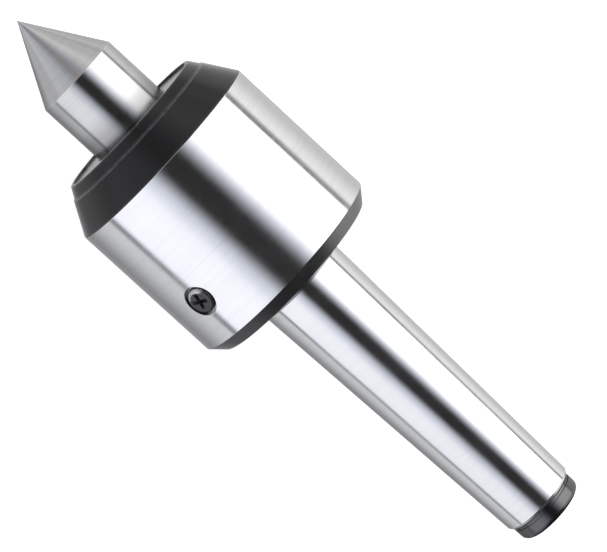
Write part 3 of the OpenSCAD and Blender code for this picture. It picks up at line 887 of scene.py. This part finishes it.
screwShape = {
    "headR": 3.44, "headTop": 26.94, "headHeight": 2.79, "round": 1.0, "threadR": 1.98,
    "threadEnd": 19.0, "crossLong": 2.1, "crossWide": 0.5, "crossFoot": 0.45, "crossDepth": 1.7,
    "crossTurn": -20.0, "crossAbove": 0.6, "footReach": 1.4, "wallDraft": 1.08,
    "threadRound": 0.3, "neckRound": 0.2, "underEdge": 0.15, "faceShare": 1.05,
}


# A tapered plus-shaped punch, built standing on the screw's axis
def makePunch(s):
    def ring(x, reach, half):
        arms = []
        for quarter in range(4):
            spin = math.radians(90 * quarter + s["crossTurn"])
            for along, across in ((reach, -half), (reach, half), (half, half)):
                arms.append((x * mm, (along * math.cos(spin) - across * math.sin(spin)) * mm,
                             (along * math.sin(spin) + across * math.cos(spin)) * mm))
        return arms

    bottom = s["headTop"] - s["crossDepth"]
    top = s["headTop"] + s["crossAbove"]
    spread = (top - bottom) / s["crossDepth"]
    wide = s["crossFoot"] + (s["crossLong"] - s["crossFoot"]) * spread
    verts = ring(bottom, s["crossFoot"] * s["footReach"], s["crossFoot"])
    verts += ring(top, wide, s["crossWide"] * s["wallDraft"])
    faces = [list(range(12))[::-1], list(range(12, 24))]
    faces += [[k, (k + 1) % 12, 12 + (k + 1) % 12, 12 + k] for k in range(12)]
    mesh = bpy.data.meshes.new("crossPunch")
    mesh.from_pydata(verts, [], faces)
    mesh.attributes.new("stretch", "INT", "FACE").data.foreach_set("value", [-1] * len(mesh.polygons))
    punch = bpy.data.objects.new("crossPunch", mesh)
    bpy.context.scene.collection.objects.link(punch)
    return punch


def makeScrew(s):
    under = s["headTop"] - s["headHeight"]
    black = "blackScrew"
    corners = [
        (s["threadEnd"], 0.0, 0, black), (s["threadEnd"], s["threadR"], s["threadRound"], black),
        # the head's edge carries the painted highlight on its side towards the point
        (under, s["threadR"], s["neckRound"], black), (under, s["headR"], s["underEdge"], "rubbedEdge"),
        (s["headTop"], s["headR"], s["round"], "rubbedEdge"),
        (s["headTop"], s["headR"] - s["round"] * s["faceShare"], 0, black), (s["headTop"], 0.0, 0, ""),
    ]
    piece = turnPiece("crossScrew", corners, sides=128, cutter=makePunch(s),
                      holeNormal=lambda place, normal: normal, holeFinish=black)
    piece.matrix_world = screwMatrix(screwPlace)
    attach(piece, "head")
    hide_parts("grease_screw")


makeScrew(screwShape)
print("grease screw made")

springShape = {"turns": 190, "coilR": 0.44, "wireR": 0.17, "pointsPerTurn": 10}


# The garter spring of the oil seal, wound as a closed coil round the nose
def makeSealSpring(s):
    low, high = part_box("seal_spring")
    middle = (low.x + high.x) / 2
    ringR = high.y - (high.x - low.x) / 2
    curve = bpy.data.curves.new("coiledSealSpring", "CURVE")
    curve.dimensions = "3D"
    curve.bevel_depth = s["wireR"] * mm
    curve.bevel_resolution = 1
    spline = curve.splines.new("POLY")
    count = s["turns"] * s["pointsPerTurn"]
    spline.points.add(count - 1)
    for k in range(count):
        around = 2 * math.pi * k / count
        coil = around * s["turns"]
        radius = ringR + s["coilR"] * mm * math.cos(coil)
        spline.points[k].co = (middle + s["coilR"] * mm * math.sin(coil),
                               radius * math.cos(around), radius * math.sin(around), 1.0)
    spline.use_cyclic_u = True
    wound = bpy.data.objects.new("windingLine", curve)
    bpy.context.scene.collection.objects.link(wound)
    graph = bpy.context.evaluated_depsgraph_get()
    mesh = bpy.data.meshes.new_from_object(wound.evaluated_get(graph))
    bpy.data.objects.remove(wound)
    mesh.name = "coiledSealSpring"
    mesh.shade_smooth()
    mesh.materials.clear()
    mesh.materials.append(finishes["bearingSteel"])
    piece = bpy.data.objects.new("coiledSealSpring", mesh)
    bpy.context.scene.collection.objects.link(piece)
    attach(piece, "head")
    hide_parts("seal_spring")


makeSealSpring(springShape)
print("seal spring wound")

# The CAD pieces inside the head keep their shape and take their real finish
insideFinish = {
    "bearingSteel": ["front_outer_ring", "front_inner_ring", "front_balls", "thrust_shaft_washer",
                     "thrust_housing_washer", "thrust_balls", "needle_rollers"],
    "facedRing": ["needle_cup"],
    "pressedSheet": ["front_cage_half", "front_cage_back_half", "front_cage_rivets", "thrust_cage",
                     "needle_cage"],
    "phosphate": ["seal_case", "bearing_circlip"],
    "sealRubber": ["seal_lip"],
    "softCopper": ["screw_washer"],
}
for finish, names in insideFinish.items():
    for name in names:
        slots = cadNodes[name].data.materials
        slots.clear()
        slots.append(finishes[finish])
print("inside pieces finished")
